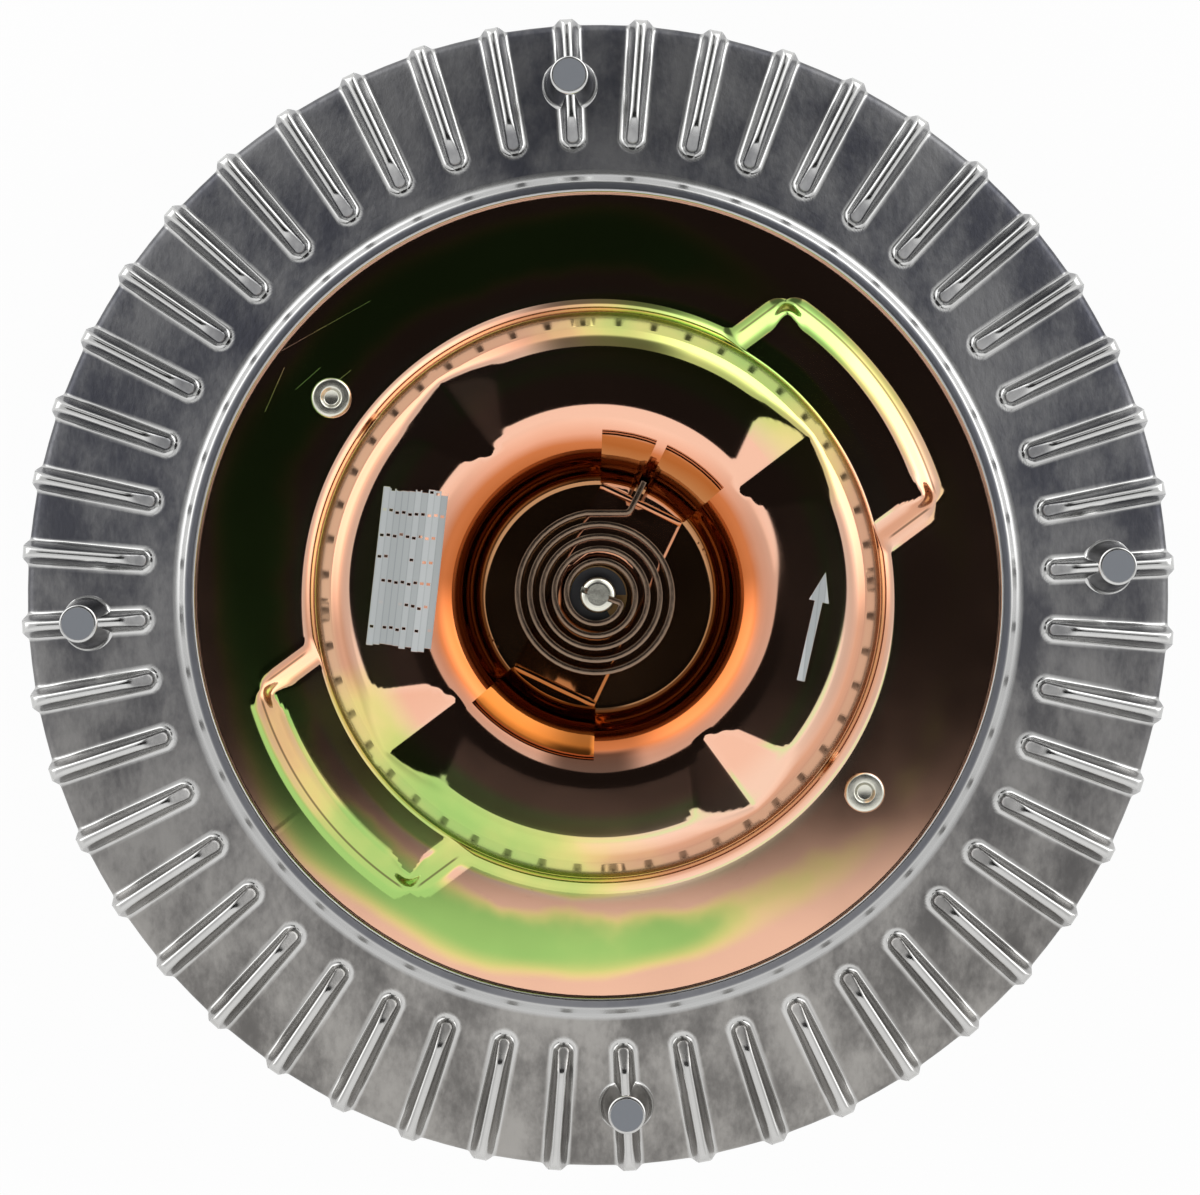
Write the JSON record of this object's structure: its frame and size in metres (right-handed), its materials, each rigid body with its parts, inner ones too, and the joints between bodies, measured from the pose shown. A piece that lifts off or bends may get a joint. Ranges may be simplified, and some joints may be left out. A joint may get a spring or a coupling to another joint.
{
  "type": "viscous fan clutch",
  "caption": "Finned aluminium viscous fan clutch: a yellow-chromated cover with a bimetal coil that turns its control valve in front, and a flanged steel drive shaft behind.",
  "frame": {"origin": "centre of the pump flange's rear face, on the axis of rotation", "axes": "+Z along the axis of rotation from the pump flange to the bimetal coil in front; +X and +Y as the picture shows right and up when the front is looked at"},
  "size_m": [0.2082, 0.2082, 0.09],
  "materials": {
    "cast_aluminium": "as-cast, sand grey, bright on rubbed edges",
    "machined_aluminium": "turned",
    "chromated_steel": "zinc plated with yellow iridescent chromate, bright",
    "forged_steel": "turned forging, light oil film",
    "bearing_steel": "ground",
    "spring_steel": "blackened",
    "plate_steel": "bare sheet",
    "plated_steel": "bright zinc",
    "bimetal": "heat-tinted brown",
    "bronze": "sintered",
    "cage_plastic": "moulded",
    "seal_rubber": "matt"
  },
  "bodies": {
    "shaft": {"drive_shaft": "forged_steel", "bearing_inner_ring": "bearing_steel", "rotor": "machined_aluminium", "rotor_retaining_ring": "spring_steel"},
    "housing": {"housing": "cast_aluminium", "bearing_outer_ring": "bearing_steel", "bearing_rear_seal": "seal_rubber", "bearing_front_seal": "seal_rubber", "bearing_snap_ring": "spring_steel", "divider_plate": "plate_steel", "plate_rivets": "plated_steel", "front_cover": "chromated_steel", "cover_seal": "seal_rubber", "valve_bushing": "bronze", "coil_bracket": "chromated_steel", "bimetal_coil": "bimetal"},
    "cage": {"bearing_balls": "bearing_steel", "bearing_cage": "cage_plastic"},
    "valve": {"valve_shaft": "plated_steel", "valve_arm": "plate_steel", "valve_shaft_seal": "seal_rubber", "valve_shaft_clip": "spring_steel"}
  },
  "joints": [
    {"name": "housing_spin", "type": "hinge", "parent": "shaft", "child": "housing", "pos_m": [0, 0, 0.0495], "axis": [0, 0, 1], "continuous": true},
    {"name": "cage_spin", "type": "hinge", "parent": "shaft", "child": "cage", "pos_m": [0, 0, 0.0495], "axis": [0, 0, 1], "continuous": true},
    {"name": "valve_turn", "type": "hinge", "parent": "housing", "child": "valve", "pos_m": [0, 0, 0.08], "axis": [0, 0, 1], "range_deg": [0, 35], "stiffness_Nm_per_rad": 0.02, "deforming": ["bimetal_coil"]}
  ],
  "couplings": [
    {"joint": "cage_spin", "follows": "housing_spin", "ratio": 0.6031}
  ]
}
